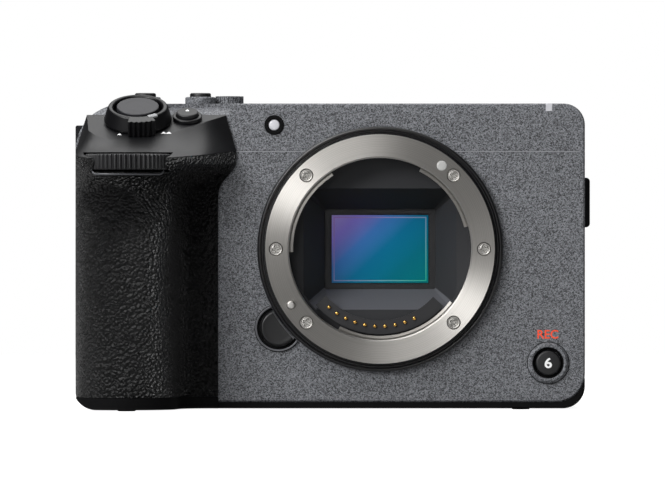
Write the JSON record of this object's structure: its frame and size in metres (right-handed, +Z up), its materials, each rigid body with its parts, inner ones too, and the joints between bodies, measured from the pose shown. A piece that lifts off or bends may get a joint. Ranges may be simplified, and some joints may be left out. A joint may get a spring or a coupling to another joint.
{
  "type": "cinema camera body",
  "caption": "Compact cinema camera body with a bayonet lens mount, leather-covered grip with control dial, hinged side screen, accessory shoe and threaded rigging points.",
  "frame": {"origin": "centre of the tripod socket's mouth on the base, straight under the optical axis and the image plane", "axes": "+X to the right as seen from the lens side, +Y from the lens towards the screen along the optical axis, +Z up"},
  "size_m": [0.1316, 0.0851, 0.0806],
  "materials": {
    "case_paint": "satin",
    "base_black": "satin",
    "leather_grip": "matte",
    "satin_black": "satin",
    "gloss_black": "gloss",
    "rubber_black": "matte",
    "mount_steel": "satin",
    "plain_steel": "satin",
    "black_steel": "satin",
    "aluminium": "satin",
    "gold_contact": "satin",
    "index_white": "matte",
    "baffle_black": "matte",
    "sensor_silicon": "gloss",
    "cover_glass": "gloss",
    "pale_window": "satin",
    "screen_black": "gloss",
    "board_green": "satin",
    "battery_grey": "matte"
  },
  "bodies": {
    "camera_body": {"front_cover": "case_paint", "rear_cover": "case_paint", "top_cover": "case_paint", "base_cover": "base_black", "chassis": "aluminium", "mount_ring": "mount_steel", "mount_bezel": "gloss_black", "mount_screws": "plain_steel", "index_dot": "index_white", "trim_rings": "satin_black", "contact_block": "baffle_black", "light_baffle": "baffle_black", "stabiliser_base": "aluminium", "main_board": "board_green", "fan_housing": "satin_black", "grip_frame": "satin_black", "grip_skin": "leather_grip", "grip_shoulder": "satin_black", "grip_base": "satin_black", "control_collars": "satin_black", "record_bezel": "case_paint", "signal_windows": "pale_window", "strap_lugs": "black_steel", "battery": "battery_grey", "connectors": "plain_steel", "accessory_shoe": "plain_steel", "thread_bushes": "plain_steel", "fixings": "black_steel"},
    "lock_pin": {"lock_pin": "plain_steel"},
    "release_button": {"release_button": "satin_black"},
    "contact_pins": {"contact_pins": "gold_contact"},
    "stabiliser_frame": {"stabiliser_frame": "aluminium"},
    "fan_rotor": {"fan_rotor": "satin_black"},
    "front_dial": {"front_dial": "satin_black"},
    "zoom_lever": {"zoom_lever": "satin_black"},
    "shutter_button": {"shutter_button": "gloss_black"},
    "grip_button": {"grip_button": "satin_black"},
    "left_top_button": {"left_top_button": "satin_black"},
    "right_top_button": {"right_top_button": "satin_black"},
    "power_switch": {"power_switch": "black_steel"},
    "rear_dial": {"rear_dial": "satin_black"},
    "record_button": {"record_button": "satin_black"},
    "battery_door": {"battery_door": "satin_black"},
    "battery_latch": {"battery_latch": "satin_black"},
    "card_door": {"card_door": "satin_black"},
    "audio_door": {"audio_door": "rubber_black"},
    "data_door": {"data_door": "rubber_black"},
    "control_wheel": {"control_wheel": "satin_black"},
    "wheel_button": {"wheel_button": "satin_black"},
    "joystick": {"joystick": "rubber_black"},
    "stick_gimbal": {"stick_gimbal": "plain_steel"},
    "assist_button": {"assist_button": "satin_black"},
    "playback_button": {"playback_button": "satin_black"},
    "delete_button": {"delete_button": "satin_black"},
    "sensor": {"sensor_carriage": "aluminium", "sensor_die": "sensor_silicon", "sensor_glass": "cover_glass"},
    "screen": {"screen_arm": "black_steel", "screen_shell": "satin_black", "screen_glass": "screen_black"}
  },
  "joints": [
    {"name": "release_press", "type": "slide", "parent": "camera_body", "child": "release_button", "axis": [0, 1, 0], "range_m": [0, 0.0016], "stiffness_N_per_m": 600, "springref_m": -0.001},
    {"name": "lock_pin_retract", "type": "slide", "parent": "camera_body", "child": "lock_pin", "axis": [0, 1, 0], "range_m": [0, 0.0016]},
    {"name": "contact_pins_press", "type": "slide", "parent": "camera_body", "child": "contact_pins", "axis": [0, 1, 0], "range_m": [0, 0.0004], "stiffness_N_per_m": 800, "springref_m": -0.0005},
    {"name": "record_press", "type": "slide", "parent": "camera_body", "child": "record_button", "axis": [0, 1, 0], "range_m": [0, 0.0005], "stiffness_N_per_m": 600, "springref_m": -0.001},
    {"name": "shutter_press", "type": "slide", "parent": "camera_body", "child": "shutter_button", "axis": [0, 0.4226, -0.9063], "range_m": [0, 0.0009], "stiffness_N_per_m": 600, "springref_m": -0.001},
    {"name": "grip_button_press", "type": "slide", "parent": "camera_body", "child": "grip_button", "axis": [0, 0.4226, -0.9063], "range_m": [0, 0.0005], "stiffness_N_per_m": 600, "springref_m": -0.001},
    {"name": "zoom_swing", "type": "hinge", "parent": "camera_body", "child": "zoom_lever", "pos_m": [-0.06115, -0.0178, 0.07256], "axis": [0, -0.4226, 0.9063], "range_deg": [-20, 20], "stiffness_Nm_per_rad": 0.02},
    {"name": "front_dial_turn", "type": "hinge", "parent": "camera_body", "child": "front_dial", "pos_m": [-0.0631, -0.03176, 0.06215], "axis": [0, 0, 1], "continuous": true},
    {"name": "left_top_press", "type": "slide", "parent": "camera_body", "child": "left_top_button", "axis": [0, 0, -1], "range_m": [0, 0.0005], "stiffness_N_per_m": 600, "springref_m": -0.001},
    {"name": "right_top_press", "type": "slide", "parent": "camera_body", "child": "right_top_button", "axis": [0, 0, -1], "range_m": [0, 0.0005], "stiffness_N_per_m": 600, "springref_m": -0.001},
    {"name": "power_turn", "type": "hinge", "parent": "camera_body", "child": "power_switch", "pos_m": [-0.0386, 0.0125, 0.078], "axis": [0, 0, 1], "range_deg": [0, 30]},
    {"name": "rear_dial_turn", "type": "hinge", "parent": "camera_body", "child": "rear_dial", "pos_m": [-0.0636, 0.0327, 0.0705], "axis": [0, 0, 1], "continuous": true},
    {"name": "stabiliser_shift_x", "type": "slide", "parent": "camera_body", "child": "stabiliser_frame", "axis": [1, 0, 0], "range_m": [-0.001, 0.001], "stiffness_N_per_m": 500},
    {"name": "stabiliser_shift_z", "type": "slide", "parent": "stabiliser_frame", "child": "sensor", "axis": [0, 0, 1], "range_m": [-0.001, 0.001], "stiffness_N_per_m": 1500},
    {"name": "fan_turn", "type": "hinge", "parent": "camera_body", "child": "fan_rotor", "pos_m": [0.022, 0.012, 0.03735], "axis": [0, 1, 0], "continuous": true},
    {"name": "battery_door_open", "type": "hinge", "parent": "camera_body", "child": "battery_door", "pos_m": [-0.065, 0.01525, 0.00105], "axis": [1, 0, 0], "range_deg": [0, 90]},
    {"name": "battery_latch_slide", "type": "slide", "parent": "battery_door", "child": "battery_latch", "axis": [0, 1, 0], "range_m": [0, 0.002]},
    {"name": "card_door_open", "type": "hinge", "parent": "camera_body", "child": "card_door", "pos_m": [-0.07635, 0.01625, 0.032], "axis": [0, 0, 1], "range_deg": [0, 90]},
    {"name": "data_door_open", "type": "hinge", "parent": "camera_body", "child": "data_door", "pos_m": [0.05115, 0.01625, 0.021], "axis": [0, 0, -1], "range_deg": [0, 90]},
    {"name": "audio_door_open", "type": "hinge", "parent": "camera_body", "child": "audio_door", "pos_m": [0.05115, 0.01625, 0.0409], "axis": [0, 0, -1], "range_deg": [0, 90]},
    {"name": "screen_open", "type": "hinge", "parent": "camera_body", "child": "screen", "pos_m": [0.0486, 0.0393, 0.037], "axis": [0, 0, -1], "range_deg": [0, 176]},
    {"name": "control_wheel_turn", "type": "hinge", "parent": "camera_body", "child": "control_wheel", "pos_m": [-0.05, 0.04, 0.027], "axis": [0, 1, 0], "continuous": true},
    {"name": "wheel_press", "type": "slide", "parent": "camera_body", "child": "wheel_button", "axis": [0, -1, 0], "range_m": [0, 0.0005], "stiffness_N_per_m": 600, "springref_m": -0.001},
    {"name": "stick_pitch", "type": "hinge", "parent": "camera_body", "child": "stick_gimbal", "pos_m": [-0.044, 0.0375, 0.0505], "axis": [1, 0, 0], "range_deg": [-8, 8], "stiffness_Nm_per_rad": 0.02},
    {"name": "stick_yaw", "type": "hinge", "parent": "stick_gimbal", "child": "joystick", "pos_m": [-0.044, 0.0375, 0.0505], "axis": [0, 0, 1], "range_deg": [-8, 8], "stiffness_Nm_per_rad": 0.02},
    {"name": "assist_press", "type": "slide", "parent": "camera_body", "child": "assist_button", "axis": [0, -1, 0], "range_m": [0, 0.0005], "stiffness_N_per_m": 600, "springref_m": -0.001},
    {"name": "playback_press", "type": "slide", "parent": "camera_body", "child": "playback_button", "axis": [0, -1, 0], "range_m": [0, 0.0005], "stiffness_N_per_m": 600, "springref_m": -0.001},
    {"name": "delete_press", "type": "slide", "parent": "camera_body", "child": "delete_button", "axis": [0, -1, 0], "range_m": [0, 0.0005], "stiffness_N_per_m": 600, "springref_m": -0.001}
  ],
  "couplings": [
    {"joint": "lock_pin_retract", "follows": "release_press", "ratio": 1}
  ]
}
